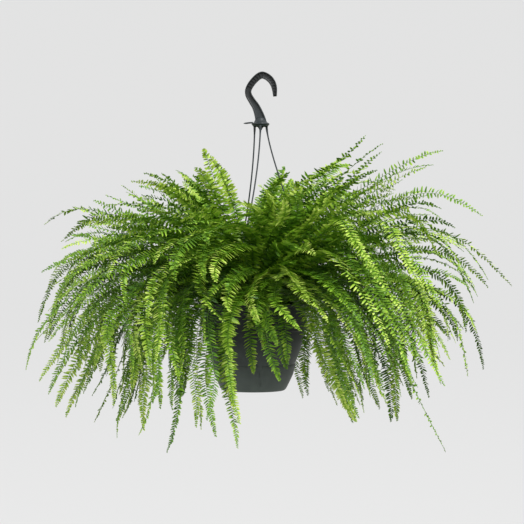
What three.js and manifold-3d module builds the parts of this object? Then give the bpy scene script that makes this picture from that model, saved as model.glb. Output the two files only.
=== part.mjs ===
// A potted nephrolepis fern in a hanging pot: a moulded hook with three strands, a bowl-shaped pot with a drip
// saucer, potting soil, and fifty-six tufts of four fronds each.
// Units are millimetres and +Z is up. The origin is the inner underside of the hook's crown, which bears on
// whatever the plant hangs from. The camera side of the plant is -Y.
import * as THREE from "three";
import { mergeVertices } from "three/addons/utils/BufferGeometryUtils.js";
import Module from "manifold-3d";

const wasm = await Module();
wasm.setup();

const { degToRad, clamp, lerp, smoothstep } = THREE.MathUtils;

// Clearance between pieces that touch
const seat = 0.3;

// Hook: centreline in the XZ plane from the tip over the crown to the hub, with the width at each point
const hookRoute = [
  { x: 20, z: -33, width: 7 },
  { x: 19, z: -19, width: 10 },
  { x: 16, z: -8.5, width: 11.5 },
  { x: 10.5, z: -0.5, width: 12.4 },
  { x: 3, z: 5.2, width: 12.6 },
  { x: -5.5, z: 7.4, width: 12.6 },
  { x: -14.5, z: 2.2, width: 12.4 },
  { x: -24.5, z: -8.8, width: 12.2 },
  { x: -30.6, z: -20.5, width: 12 },
  { x: -30, z: -30.5, width: 12.4 },
  { x: -23.8, z: -41.5, width: 13 },
  { x: -16.8, z: -52, width: 14.5 },
  { x: -11.6, z: -64, width: 17 },
  { x: -8, z: -76, width: 20 },
  { x: -7.6, z: -83, width: 25 },
];
const hookSteps = 22;
const hookDepth = 9.5;
const hookWeb = 3.2;
const hookFlange = 2.4;

// Hub under the hook, with the thin moulding tab at its left
const hubX = -7.6;
const hubTop = -81;
const hubRadius = 17;
const hubPlate = 6;
const hubDepth = 14;
const hubNoseRadius = 5;
const hubSegments = 16;
const hubNoseRound = 1;
const hubEdge = 1.2;
const hubWaist = 1.5;
const tabLength = 18;
const tabWidth = 5;
const tabThickness = 1.6;
const tabRoot = 1;
const tabDrop = 2.2;

// Pot and saucer, turned about an axis 21 mm to the left of the hook
const potX = -21;
const potSegments = 24;
const rimTop = -425;
const rimRadius = 101;
const rimWall = 4;
const rimBead = 6;
const rimRound = 1;
const collarBottom = -477;
const ledgeWidth = 3.3;
const potBase = -588.9;
const potWall = 1.9;
const soilTop = -441;
const saucerBase = -591;
const saucerFloor = 1.8;

// Strands: the angle at the hub and at the rim, and the share of its spread at a share of its way down. The
// right one is pushed out by the foliage, the others hang nearly straight at first.
const strandDiameter = 2.8;
const strandSides = 6;
const strandSteps = 10;
const strandSpans = 8;
const strandSamples = 48;
const strandHubRadius = 12.8;
const strandTop = -84;
const strands = [
  { hubAngle: 30, rimAngle: 0, spread: (t) => smoothstep(t ** 0.8, 0, 1) },
  { hubAngle: 150, rimAngle: 120, spread: (t) => t ** 1.8 },
  { hubAngle: 270, rimAngle: 240, spread: (t) => t ** 1.7 },
];
const clipWidth = 9;
const clipThickness = 2.2;
const clipDrop = 13;

// Fronds: rank 0 is the oldest and lowest, rank 1 the youngest and most upright. The lists hold the value at
// each of the five ranks, angles in degrees from the horizontal. A block is eight tufts of four fronds, and
// the fronds of a tuft are eight golden angles apart, which brings them side by side.
const frondCount = 224;
const laneCount = 8;
// Where the four fronds of a tuft stand on their stub: to its left and outwards from the crown
const feet = [
  { left: -1.3, out: 1.2 },
  { left: -1.2, out: -1.2 },
  { left: 1.2, out: -1.2 },
  { left: 1.3, out: 1.2 },
];
const blockSize = laneCount * feet.length;
const goldenAngle = 137.508;
const ranks = [0, 0.25, 0.5, 0.75, 1];
const launchAngle = [62, 64, 68, 75, 82];
const droopAngle = [78, 71, 72, 22, -31];
const fullLength = [358, 456, 530, 438, 333];
const bendPower = [0.74, 0.79, 0.88, 0.97, 1.3];
const bendReach = [0.57, 0.83, 0.98, 1.03, 1];
const crownRadius = 66;
const courseSteps = 40;

// How much the fronds differ among themselves: half ranges in rank and turn, and least and added length
const varied = { rank: 0.004, rankPower: 1.2, turn: 3.4, leastLength: 0.71, addedLength: 0.36, roll: 26 };
// Stragglers are a few old fronds that are thin and long
const stragglers = { below: 0.35, share: 0.1, stretch: 1.1, width: 0.6 };
// The plant is fuller to the right, and its low fronds before and behind the pot are short
const lean = { turn: 0, share: 0.11 };
const facing = { front: 274, back: 88, spread: 15, cut: 0.48, fromRank: 0.4, toRank: 0.75 };
// A frond leaves its tuft's foot for its own course, and turns from the tuft's sector into the open
const leaving = { foot: 110, turnFrom: 90, turnTo: 260 };
// Turns of the three strands as low and as upright fronds meet them, and the angle kept free on either side
const strandTurns = [
  { low: 0, upright: 4 },
  { low: 120, upright: 112 },
  { low: 240, upright: 264 },
];
const freeAngle = { low: 12, upright: 24 };
// The slow drift of the foliage: for x, y and z the shares of the three coordinates and the phase of a sine
const drift = { reach: 17, from: 60, over: 240, most: 1.3, wavelength: 430 };
const driftWaves = [
  [0, 1.1, 0.8, 1.22],
  [1.2, 0, 0.9, 2.35],
  [1.1, -0.9, 0, 1.65],
];

// Blade: leaflets start beyond the stalk, are short there and full further out, and shorten to the tip
const stalkLength = 58;
const leafletHalfWidth = 16;
const leafletPitch = 94;
const blade = { least: 0.88, added: 0.24, first: 0.3, fullAt: 170, taper: 0.45, taperPower: 0.7 };
const leafletLean = 0.25;
const leastPairs = 3;
const bareTip = 0.7;
const leastReach = 1.7;
const ribHalfWidth = 1.3;
const ribHeight = 1.7;
const ribThickness = 3;
const ribTip = 0.6;
const ribFoot = 0.75;
const stubRadius = 3.3;
const stubTaper = 0.8;
const stubSides = 4;
const footHeight = 1.5;
const stubDepth = 9;
const stubHeight = 3;
const holeGap = 0.5;

const plastic = { color: 0x32383b, roughness: 0.5, metalness: 0 };
const soilLook = { color: 0x2c2119, roughness: 0.95, metalness: 0 };
const frondLook = { color: 0x4f7d25, roughness: 0.6, metalness: 0 };

// Solids

// A closed geometry as a solid: shared corners merged, and the slivers of a lathe's pole left out
function toSolid(geometry) {
  const bare = geometry.clone();
  bare.deleteAttribute("normal");
  bare.deleteAttribute("uv");
  const merged = mergeVertices(bare, 1e-4);
  const index = merged.index.array;
  const corners = [];
  for (let i = 0; i < index.length; i += 3) {
    const [a, b, c] = [index[i], index[i + 1], index[i + 2]];
    if (a !== b && b !== c && c !== a) corners.push(a, b, c);
  }
  const mesh = new wasm.Mesh({
    numProp: 3,
    vertProperties: new Float32Array(merged.attributes.position.array),
    triVerts: new Uint32Array(corners),
  });
  return new wasm.Manifold(mesh);
}

function toGeometry(solid) {
  const mesh = solid.getMesh();
  const geometry = new THREE.BufferGeometry();
  geometry.setAttribute("position", new THREE.BufferAttribute(new Float32Array(mesh.vertProperties), 3));
  geometry.setIndex(new THREE.BufferAttribute(new Uint32Array(mesh.triVerts), 1));
  geometry.computeVertexNormals();
  return geometry;
}

function joined(geometries) {
  return geometries.map(toSolid).reduce((whole, piece) => whole.add(piece));
}

// A solid turned about the Z axis through (x, 0), from a profile of [radius, height] that starts and ends on it
function turned(profile, segments, x) {
  const points = profile.map(([r, z]) => new THREE.Vector2(r, z));
  const geometry = new THREE.LatheGeometry(points, segments);
  return geometry.rotateX(Math.PI / 2).translate(x, 0, 0);
}

// Hanger

// The hook: an I-section swept along its centreline, its width changing on the way
function hookGeometry() {
  const curve = new THREE.CatmullRomCurve3(hookRoute.map(({ x, z }) => new THREE.Vector3(x, 0, z)));
  const positions = [];
  for (let i = 0; i <= hookSteps; i++) {
    const t = i / hookSteps;
    const place = t * (hookRoute.length - 1);
    const near = Math.min(Math.floor(place), hookRoute.length - 2);
    const width = lerp(hookRoute[near].width, hookRoute[near + 1].width, place - near);
    const centre = curve.getPoint(t);
    const along = curve.getTangent(t);
    const outline = hookSection(width / 2);
    for (const { x, y } of outline) positions.push(centre.x + along.z * x, y, centre.z - along.x * x);
  }
  const outline = hookSection(hookRoute[0].width / 2);
  const count = outline.length;
  const index = [];
  for (let i = 0; i < hookSteps; i++) {
    for (let k = 0; k < count; k++) {
      const a = i * count + k;
      const b = i * count + ((k + 1) % count);
      index.push(a, b, a + count, b, b + count, a + count);
    }
  }
  const last = hookSteps * count;
  for (const [a, b, c] of THREE.ShapeUtils.triangulateShape(outline, [])) {
    index.push(a, c, b, last + a, last + b, last + c);
  }
  const geometry = new THREE.BufferGeometry();
  geometry.setAttribute("position", new THREE.Float32BufferAttribute(positions, 3));
  geometry.setIndex(index);
  return geometry;
}

// Corners of the I-section, x across the hook and y through its depth
function hookSection(half) {
  const depth = hookDepth / 2;
  const web = hookWeb / 2;
  const inner = half - hookFlange;
  return [
    [half, -depth],
    [half, depth],
    [inner, depth],
    [inner, web],
    [-inner, web],
    [-inner, depth],
    [-half, depth],
    [-half, -depth],
    [-inner, -depth],
    [-inner, -web],
    [inner, -web],
    [inner, -depth],
  ].map(([x, y]) => new THREE.Vector2(x, y));
}

function hubGeometry() {
  const profile = [
    [0, hubTop - hubDepth],
    [hubNoseRadius, hubTop - hubDepth + hubNoseRound],
    [hubRadius - 2 * hubWaist, hubTop - hubPlate - hubWaist],
    [hubRadius, hubTop - hubPlate + hubNoseRound],
    [hubRadius, hubTop - hubEdge],
    [hubRadius - hubEdge, hubTop],
    [0, hubTop],
  ];
  return turned(profile, hubSegments, hubX);
}

function tabGeometry() {
  const geometry = new THREE.BoxGeometry(tabLength, tabWidth, tabThickness);
  return geometry.translate(hubX - hubRadius + tabRoot - tabLength / 2, 0, hubTop - tabDrop);
}

// Middle of a strand at t, from 0 in the hub to 1 on the rim
function strandPoint({ hubAngle, rimAngle, spread }, t) {
  const share = spread(t);
  const hub = degToRad(hubAngle);
  const rim = degToRad(rimAngle);
  const reach = rimRadius - rimRound;
  return new THREE.Vector3(
    lerp(hubX + strandHubRadius * Math.cos(hub), potX + reach * Math.cos(rim), share),
    lerp(strandHubRadius * Math.sin(hub), reach * Math.sin(rim), share),
    lerp(strandTop, rimTop + seat + clipThickness / 2, t),
  );
}

function strandGeometry(strand) {
  const route = [];
  for (let k = 0; k <= strandSpans; k++) route.push(strandPoint(strand, k / strandSpans));
  const section = new THREE.Shape();
  for (let k = 0; k < strandSides; k++) {
    const angle = (2 * Math.PI * k) / strandSides;
    const [x, y] = [(strandDiameter / 2) * Math.cos(angle), (strandDiameter / 2) * Math.sin(angle)];
    if (k === 0) section.moveTo(x, y);
    else section.lineTo(x, y);
  }
  const extrudePath = new THREE.CatmullRomCurve3(route);
  return new THREE.ExtrudeGeometry(section, { steps: strandSteps, extrudePath, bevelEnabled: false });
}

// The clip at the end of a strand: an upside-down U that sits over the rim
function clipGeometry({ rimAngle }) {
  const inside = rimRadius - rimWall - rimRound - seat;
  const outside = rimRadius + seat;
  const top = rimTop + seat + clipThickness;
  const shape = new THREE.Shape();
  shape.moveTo(inside - clipThickness, rimTop - clipDrop);
  shape.lineTo(inside, rimTop - clipDrop);
  shape.lineTo(inside, rimTop + seat);
  shape.lineTo(outside, rimTop + seat);
  shape.lineTo(outside, rimTop - clipDrop);
  shape.lineTo(outside + clipThickness, rimTop - clipDrop);
  shape.lineTo(outside + clipThickness, top - rimRound);
  shape.lineTo(outside + clipThickness - rimRound, top);
  shape.lineTo(inside - clipThickness, top);
  const geometry = new THREE.ExtrudeGeometry(shape, { depth: clipWidth, bevelEnabled: false });
  geometry.translate(0, 0, -clipWidth / 2).rotateX(Math.PI / 2);
  return geometry.rotateZ(degToRad(rimAngle)).translate(potX, 0, 0);
}

function hangerGeometry() {
  const pieces = [hookGeometry(), hubGeometry(), tabGeometry()];
  for (const strand of strands) pieces.push(strandGeometry(strand), clipGeometry(strand));
  return toGeometry(joined(pieces));
}

// Pot, saucer and soil

// Outside of the pot below its ledge, from the base up, as [radius, height]
const potOutside = [
  [53.5, potBase],
  [61, -578],
  [70.5, -560],
  [78.5, -539],
  [86.5, -518],
  [92, -498],
  [95.3, collarBottom - 1],
];

function potInside(gap) {
  return potOutside.map(([r, z]) => [r - potWall - gap, Math.max(z, potBase + potWall + gap)]);
}

function potGeometry() {
  const collarRadius = potOutside[potOutside.length - 1][0] + ledgeWidth;
  const profile = [
    [0, potBase],
    ...potOutside,
    [collarRadius, collarBottom],
    [rimRadius - rimRound, rimTop - rimBead],
    [rimRadius, rimTop - rimRound],
    [rimRadius - rimRound, rimTop],
    [rimRadius - rimWall + rimRound, rimTop],
    [rimRadius - rimWall, rimTop - 2 * rimRound],
    [collarRadius - potWall, collarBottom + rimRound],
    ...potInside(0).filter((_, k) => k % 2 === 0).reverse(),
    [0, potBase + potWall],
  ];
  return turned(profile, potSegments, potX);
}

function saucerGeometry() {
  const profile = [
    [0, saucerBase],
    [59, saucerBase],
    [67.4, -577],
    [75.4, -560],
    [79.4, -547],
    [80.2, -543.6],
    [78.6, -543.4],
    [73.6, -560.4],
    [65.8, -577.4],
    [58, saucerBase + saucerFloor],
    [0, saucerBase + saucerFloor],
  ];
  return turned(profile, potSegments, potX);
}

function soilGeometry(tufts) {
  const inside = potInside(seat).filter((_, k) => k % 2 === 0);
  const profile = [
    [0, inside[0][1]],
    ...inside,
    [rimRadius - rimWall - rimRound, collarBottom + rimWall],
    [rimRadius - rimWall - rimRound, soilTop],
    [0, soilTop],
  ];
  let soil = toSolid(turned(profile, potSegments, potX));
  for (const { base, turn } of tufts) {
    const depth = stubDepth + 2 * seat;
    const hole = new THREE.CylinderGeometry(stubRadius + holeGap, stubRadius + holeGap, 2 * depth, stubSides);
    hole.rotateX(Math.PI / 2).rotateZ(turn + Math.PI / 4).translate(base.x, base.y, base.z);
    soil = soil.subtract(toSolid(hole));
  }
  return toGeometry(soil);
}

// Fronds

// A repeatable number from 0 to 1 for frond n and purpose k
function scatter(n, k) {
  const value = Math.sin(n * 12.9898 + k * 78.233 + 5.9) * 43758.5453;
  return value - Math.floor(value);
}

// The value of a list at a rank, straight between the five ranks
function atRank(list, rank) {
  const place = clamp(rank, 0, 1) * (ranks.length - 1);
  const near = Math.min(Math.floor(place), ranks.length - 2);
  return lerp(list[near], list[near + 1], place - near);
}

// The turn at which a frond leaves the crown: its tuft stands between two strands, and it stays clear of
// both, more so the more upright it grows, because the upright ones meet the strands where these are close
function partedTurn(turn, tuftTurn, rank) {
  const half = lerp(freeAngle.low, freeAngle.upright, rank * rank);
  const centres = strandTurns.map(({ low, upright }) => lerp(low, upright, rank * rank));
  const tuftDegrees = within(tuftTurn, 0);
  const low = Math.max(centres[2] - 360, ...centres.filter((c) => c <= tuftDegrees));
  const high = Math.min(centres[0] + 360, ...centres.filter((c) => c > tuftDegrees));
  const share = clamp((within(turn, (low + high) / 2 - 180) - low) / (high - low), 0, 1);
  return low + half + share * (high - low - 2 * half);
}

// The same turn, in the 360 degrees from a start
function within(turn, start) {
  return ((((turn - start) % 360) + 360) % 360) + start;
}

// A slow drift of the whole foliage, nothing at the crown and 17 mm or so outside, that keeps neighbours apart
function drifted(point, crown) {
  const weight = drift.reach * clamp((point.distanceTo(crown) - drift.from) / drift.over, 0, drift.most);
  const [x, y, z] = point.toArray().map((value) => (2 * Math.PI * value) / drift.wavelength);
  const sways = driftWaves.map(([a, b, c, phase]) => Math.sin(a * x + b * y + c * z + phase));
  return point.clone().addScaledVector(new THREE.Vector3(...sways), weight);
}

// Fronds that would hang before or behind the pot stay short, so that the pot shows
function nearFrontOrBack(turn) {
  const degrees = within(turn, 0);
  const bell = (middle) => Math.exp(-(((degrees - middle) / facing.spread) ** 2));
  return bell(facing.front) + bell(facing.back);
}

// A level direction of unit length
function levelAt(radians) {
  return new THREE.Vector3(Math.cos(radians), Math.sin(radians), 0);
}

// The course of frond i: points along its rib, its length, the turn it grows towards and its tuft
function frondCourse(i) {
  const block = Math.floor(i / blockSize);
  const lane = i % laneCount;
  const member = Math.floor((i % blockSize) / laneCount);
  const inner = block * blockSize + laneCount + lane;
  const tuftRank = (inner + laneCount / 2 + 0.5) / frondCount;
  const tuftTurn = inner * goldenAngle + within(laneCount * goldenAngle, 0) / 2;
  const rank = clamp((i + 0.5) / frondCount + varied.rank * (2 * scatter(i, 1) - 1), 0, 1) ** varied.rankPower;
  const turn = i * goldenAngle + varied.turn * (2 * scatter(i, 2) - 1);

  const crown = new THREE.Vector3(potX, 0, soilTop);
  const baseTurn = degToRad(partedTurn(tuftTurn, tuftTurn, tuftRank));
  const base = levelAt(baseTurn).multiplyScalar(crownRadius * Math.sqrt(1 - tuftRank)).add(crown);

  const inTurn = partedTurn(turn, tuftTurn, rank);
  const outTurn = lerp(within(turn, inTurn - 180), inTurn, rank * rank);
  const launch = atRank(launchAngle, rank);
  const droop = atRank(droopAngle, rank);
  const whole = atRank(fullLength, rank);
  const cut = facing.cut * nearFrontOrBack(turn) * (1 - smoothstep(rank, facing.fromRank, facing.toRank));
  const fuller = 1 + lean.share * rank * Math.cos(degToRad(turn - lean.turn));
  const straggler = rank < stragglers.below && scatter(i, 8) > 1 - stragglers.share;
  const own = (varied.leastLength + varied.addedLength * scatter(i, 3)) * (straggler ? stragglers.stretch : 1);

  const step = (whole * own * fuller * (1 - cut)) / courseSteps;
  const { left, out } = feet[member];
  const foot = base.clone().addScaledVector(levelAt(baseTurn + Math.PI / 2), left);
  foot.addScaledVector(levelAt(baseTurn), out);
  foot.z += footHeight;
  const point = levelAt(degToRad(inTurn)).multiplyScalar(crownRadius * Math.sqrt(1 - rank)).add(crown);
  const shift = foot.clone().sub(point);
  const points = [drifted(foot, crown)];
  for (let n = 0; n < courseSteps; n++) {
    const way = (n + 0.5) * step;
    const bend = Math.min(1, way / whole / atRank(bendReach, rank)) ** atRank(bendPower, rank);
    const rise = degToRad(launch - (launch + droop) * bend);
    const heading = degToRad(lerp(inTurn, outTurn, smoothstep(way, leaving.turnFrom, leaving.turnTo)));
    point.addScaledVector(levelAt(heading), step * Math.cos(rise));
    point.z += step * Math.sin(rise);
    const ownShare = 1 - smoothstep((n + 1) * step, 0, leaving.foot);
    points.push(drifted(point.clone().addScaledVector(shift, ownShare), crown));
  }
  const tuft = block * laneCount + lane;
  return { i, tuft, turn: degToRad(turn), points, base: drifted(base, crown), baseTurn, straggler };
}

// Where the rib is after a length s, and its direction there
function alongCourse(course, s) {
  const place = clamp(s / course.length, 0, 1) * courseSteps;
  const near = Math.min(Math.floor(place), courseSteps - 1);
  const point = course.points[near].clone().lerp(course.points[near + 1], place - near);
  const before = course.points[Math.max(near - 1, 0)];
  const after = course.points[Math.min(near + 2, courseSteps)];
  return { point, along: after.clone().sub(before).normalize() };
}

// Half of the free space around each course point: no leaflet reaches past it, so no two tufts cross
function measureRoom(courses) {
  const strandRoute = strands.flatMap((strand) => {
    return Array.from({ length: strandSamples + 1 }, (_, k) => strandPoint(strand, k / strandSamples));
  });
  for (const course of courses) {
    course.room = course.points.map((point) => {
      let nearest = Infinity;
      for (const other of courses) {
        if (other.tuft === course.tuft) continue;
        for (const far of other.points) nearest = Math.min(nearest, point.distanceToSquared(far));
      }
      const toStrand = Math.min(...strandRoute.map((far) => point.distanceTo(far)));
      return Math.min(Math.sqrt(nearest) / 2, toStrand - strandDiameter / 2);
    });
  }
}

// The least room between two lengths along a course
function roomBetween(course, from, to) {
  const first = Math.max(0, Math.floor((from / course.length) * courseSteps) - 1);
  const last = Math.min(courseSteps, Math.ceil((to / course.length) * courseSteps) + 1);
  return Math.min(...course.room.slice(first, last + 1));
}

// Half the width of the blade at s: short leaflets near the crown, then full ones, then shorter to the tip
function bladeHalfWidth(course, s) {
  const own = (blade.least + blade.added * scatter(course.i, 5)) * (course.straggler ? stragglers.width : 1);
  const start = lerp(blade.first, 1, smoothstep(s, stalkLength, blade.fullAt));
  const end = Math.min(1, (1 - s / course.length) / blade.taper) ** blade.taperPower;
  return leafletHalfWidth * own * start * end;
}

// One frond: a slim three-sided rib, with a flat pyramid for a leaflet on either side between two stations
function frondGeometry(course) {
  const roll = degToRad(varied.roll) * (2 * scatter(course.i, 4) - 1);
  const level = levelAt(course.turn + Math.PI / 2);
  const frameAt = (s) => {
    const { point, along } = alongCourse(course, s);
    const flat = level.clone().addScaledVector(along, -along.dot(level)).normalize();
    const side = flat.clone().applyAxisAngle(along, roll);
    return { point, along, side, up: side.clone().cross(along).multiplyScalar(-1) };
  };
  const positions = [];
  const index = [];
  const addPoint = (v) => positions.push(v.x, v.y, v.z) / 3 - 1;
  const addStation = (s) => {
    const { point, side, up } = frameAt(s);
    const size = s === 0 ? ribFoot : lerp(1, ribTip, s / course.length);
    return {
      left: addPoint(point.clone().addScaledVector(side, ribHalfWidth * size)),
      right: addPoint(point.clone().addScaledVector(side, -ribHalfWidth * size)),
      top: addPoint(point.clone().addScaledVector(up, ribHeight * size)),
    };
  };
  const wall = (a, b, c, d) => index.push(a, c, b, a, d, c);
  const fan = (apex, a, b, c, d) => index.push(b, a, apex, c, b, apex, d, c, apex, a, d, apex);

  let last = addStation(0);
  index.push(last.left, last.right, last.top);
  const stalkEnd = addStation(stalkLength);
  wall(last.left, stalkEnd.left, stalkEnd.top, last.top);
  wall(last.right, last.top, stalkEnd.top, stalkEnd.right);
  wall(last.left, last.right, stalkEnd.right, stalkEnd.left);
  last = stalkEnd;
  const pairs = Math.max(leastPairs, Math.round((course.length - stalkLength) / leafletPitch) - 1);
  const pitch = (course.length - stalkLength) / (pairs + bareTip);
  for (let k = 0; k < pairs; k++) {
    const from = stalkLength + k * pitch;
    const middle = from + pitch / 2;
    const { point, along, side } = frameAt(middle);
    const free = roomBetween(course, from, from + pitch) - ribThickness / 2;
    const reach = Math.max(leastReach, Math.min(bladeHalfWidth(course, middle), free));
    const forward = leafletLean * reach;
    const next = addStation(from + pitch);
    const leftTip = addPoint(point.clone().addScaledVector(side, reach).addScaledVector(along, forward));
    const rightTip = addPoint(point.clone().addScaledVector(side, -reach).addScaledVector(along, forward));
    fan(leftTip, last.left, next.left, next.top, last.top);
    fan(rightTip, last.right, last.top, next.top, next.right);
    wall(last.left, last.right, next.right, next.left);
    last = next;
  }
  const tip = addPoint(course.points[courseSteps]);
  index.push(last.left, last.top, tip, last.top, last.right, tip, last.right, last.left, tip);

  const geometry = new THREE.BufferGeometry();
  geometry.setAttribute("position", new THREE.Float32BufferAttribute(positions, 3));
  geometry.setIndex(index);
  return geometry;
}

function stubGeometry({ base, turn }) {
  const height = stubDepth + stubHeight;
  const stub = new THREE.CylinderGeometry(stubRadius, stubRadius * stubTaper, height, stubSides);
  stub.rotateX(Math.PI / 2).rotateZ(turn + Math.PI / 4);
  return stub.translate(base.x, base.y, base.z + height / 2 - stubDepth);
}

// All fronds, sorted into their tufts
function makeTufts() {
  const courses = [];
  for (let i = 0; i < frondCount; i++) {
    const course = frondCourse(i);
    course.length = 0;
    for (let n = 0; n < courseSteps; n++) course.length += course.points[n].distanceTo(course.points[n + 1]);
    courses.push(course);
  }
  measureRoom(courses);
  const tufts = [];
  for (const course of courses) {
    tufts[course.tuft] ??= { base: course.base, turn: course.baseTurn, courses: [] };
    tufts[course.tuft].courses.push(course);
  }
  return tufts;
}

// The whole plant

const plant = new THREE.Group();

function add(name, geometry, look) {
  const mesh = new THREE.Mesh(geometry, new THREE.MeshStandardMaterial(look));
  mesh.name = name;
  plant.add(mesh);
}

const tufts = makeTufts();
add("hanger", hangerGeometry(), plastic);
add("pot", potGeometry(), plastic);
add("saucer", saucerGeometry(), plastic);
add("soil", soilGeometry(tufts), soilLook);
tufts.forEach((tuft, k) => {
  const pieces = [stubGeometry(tuft), ...tuft.courses.map(frondGeometry)];
  add(`frond_tuft_${String(k + 1).padStart(2, "0")}`, toGeometry(joined(pieces)), frondLook);
});

export default plant;
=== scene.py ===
import bpy
import numpy as np
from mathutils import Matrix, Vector


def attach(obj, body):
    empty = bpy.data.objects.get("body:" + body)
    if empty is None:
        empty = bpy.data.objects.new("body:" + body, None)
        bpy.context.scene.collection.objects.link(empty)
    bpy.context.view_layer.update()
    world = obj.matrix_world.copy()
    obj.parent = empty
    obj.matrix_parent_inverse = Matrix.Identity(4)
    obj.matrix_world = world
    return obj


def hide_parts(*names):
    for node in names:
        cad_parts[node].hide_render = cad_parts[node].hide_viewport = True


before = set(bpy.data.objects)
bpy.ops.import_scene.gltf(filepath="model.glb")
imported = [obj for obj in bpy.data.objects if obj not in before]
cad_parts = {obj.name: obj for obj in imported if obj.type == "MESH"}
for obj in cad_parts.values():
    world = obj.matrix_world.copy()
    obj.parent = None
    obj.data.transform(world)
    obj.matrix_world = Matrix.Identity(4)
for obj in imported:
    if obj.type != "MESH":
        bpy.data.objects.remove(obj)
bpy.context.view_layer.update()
scene = bpy.context.scene
print("frame:", len(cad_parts), "nodes")


# Small tools for meshes and materials

rightwards, depthwise, upwards = np.eye(3)
# most of a noise pattern lies between these values
noiseRange = (0.3, 0.7)
# the phase of a sine goes from 0 to this, a full circle in radians
phaseRange = 6.3


def smooth(x, low, high):
    # 0 below low, 1 above high, and 3t^2 - 2t^3 between them
    share = np.clip((x - low) / (high - low), 0, 1)
    return share * share * (3 - 2 * share)


def unit(vectors):
    return vectors / np.linalg.norm(vectors, axis=-1, keepdims=True)


def levelAt(radians):
    # a level direction of unit length
    return np.stack([np.cos(radians), np.sin(radians), 0 * radians], -1)


def angles(count):
    return np.arange(count) / count * 2 * np.pi


def makeMesh(name, vertices, faceGroups, flatCount=0):
    # faceGroups holds one array per number of corners, (faces, corners); the first flatCount faces look flat
    corners = np.concatenate([group.ravel() for group in faceGroups])
    sizes = np.concatenate([np.full(len(group), group.shape[1]) for group in faceGroups])
    mesh = bpy.data.meshes.new(name)
    mesh.vertices.add(len(vertices))
    mesh.vertices.foreach_set("co", np.asarray(vertices, np.float32).ravel())
    mesh.loops.add(len(corners))
    mesh.loops.foreach_set("vertex_index", corners.astype(np.int32))
    mesh.polygons.add(len(sizes))
    mesh.polygons.foreach_set("loop_start", (np.cumsum(sizes) - sizes).astype(np.int32))
    mesh.polygons.foreach_set("use_smooth", np.arange(len(sizes)) >= flatCount)
    mesh.update(calc_edges=True)
    return mesh


def makePiece(name, shapes, material, replaced, tone=None, flatCount=0, sharpAngle=None):
    # a piece of several (points, faceGroups) in place of a node; tone is a number for each vertex that its
    # material reads
    firsts = np.cumsum([0] + [points.size // 3 for points, _ in shapes])
    groups = [faces + first for (_, faceGroups), first in zip(shapes, firsts) for faces in faceGroups]
    mesh = makeMesh(name, np.concatenate([points.reshape(-1, 3) for points, _ in shapes]), groups, flatCount)
    mesh.materials.append(material)
    if tone is not None:
        attribute = mesh.attributes.new("tone", "FLOAT", "POINT")
        attribute.data.foreach_set("value", np.asarray(tone, np.float32))
    if sharpAngle:
        mesh.set_sharp_from_angle(angle=np.radians(sharpAngle))
    piece = bpy.data.objects.new(name, mesh)
    scene.collection.objects.link(piece)
    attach(piece, "root")
    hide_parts(replaced)
    return mesh


def gridFaces(rows, columns):
    # quads of a grid of rows x columns points, whose last column meets the first
    row, column = np.meshgrid(np.arange(rows - 1), np.arange(columns), indexing="ij")
    after = (column + 1) % columns
    quads = np.stack([row * columns + column, row * columns + after,
                      (row + 1) * columns + after, (row + 1) * columns + column], -1)
    return quads.reshape(-1, 4)


def tubeFaces(rows, columns):
    # quads of a tube of rows x columns points and a flat cap on either end
    caps = np.stack([np.arange(columns)[::-1], (rows - 1) * columns + np.arange(columns)])
    return [gridFaces(rows, columns), caps]


def repeated(faces, count, size):
    # the faces of one body for each of count bodies of size points
    return (faces + size * np.arange(count)[:, None, None]).reshape(-1, faces.shape[-1])


def metres(points):
    # a list of points in mm
    return np.array(points) / 1000


def carried(place, side, up, outline):
    # an outline of (across, upward) points set at every place of a path; side x up is the path's direction
    return place[..., None, :] + side[..., None, :] * outline[..., :1] + up[..., None, :] * outline[..., 1:]


def swept(place, side, up, outline):
    # the same as a closed shape, with a flat cap on either end
    return carried(place, side, up, outline), tubeFaces(len(place), outline.shape[-2])


def circle(sides):
    return levelAt(angles(sides))[:, :2]


def rounded(corners, radius, count=4):
    # each corner of a closed outline becomes a short quadratic curve, which starts and ends the radius away but
    # takes no more than 0.45 of a side
    towards = [np.roll(corners, shift, -2) - corners for shift in (1, -1)]
    start, end = [corners + way * np.minimum(0.45, radius / np.linalg.norm(way, axis=-1, keepdims=True))
                  for way in towards]
    t = np.linspace(0, 1, count)[:, None]
    curve = (start[..., None, :] * (1 - t) ** 2 + corners[..., None, :] * 2 * t * (1 - t)
             + end[..., None, :] * t ** 2)
    return curve.reshape(*corners.shape[:-2], -1, 2)


def roundedProfile(corners, radius, count=4):
    # the same for an open profile, whose two ends stay as they are
    return np.concatenate([corners[:1], rounded(corners, radius, count)[count:-count], corners[-1:]])


def withSteps(profile, step):
    # the same profile with more points on its long stretches, at most a step apart
    lengths = np.linalg.norm(np.diff(profile, axis=0), axis=1)
    counts = np.where(profile[1:, 0] * profile[:-1, 0] > 0, np.ceil(lengths / step), 1).astype(int)
    which = np.repeat(np.arange(len(counts)), counts)
    share = (np.arange(len(which)) - np.repeat(np.cumsum(counts) - counts, counts)) / counts[which]
    return np.concatenate([profile[which] + np.diff(profile, axis=0)[which] * share[:, None], profile[-1:]])


def cubic(p0, p1, p2, p3, t):
    # Catmull-Rom: the cubic from p1 to p2 that leaves and arrives with the slopes of its neighbours
    slope, second, third = p2 - p0, 2 * p0 - 5 * p1 + 4 * p2 - p3, 3 * p1 - p0 - 3 * p2 + p3
    place = 0.5 * (2 * p1 + slope * t + second * t ** 2 + third * t ** 3)
    return place, unit(slope + 2 * second * t + 3 * third * t ** 2)


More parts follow.
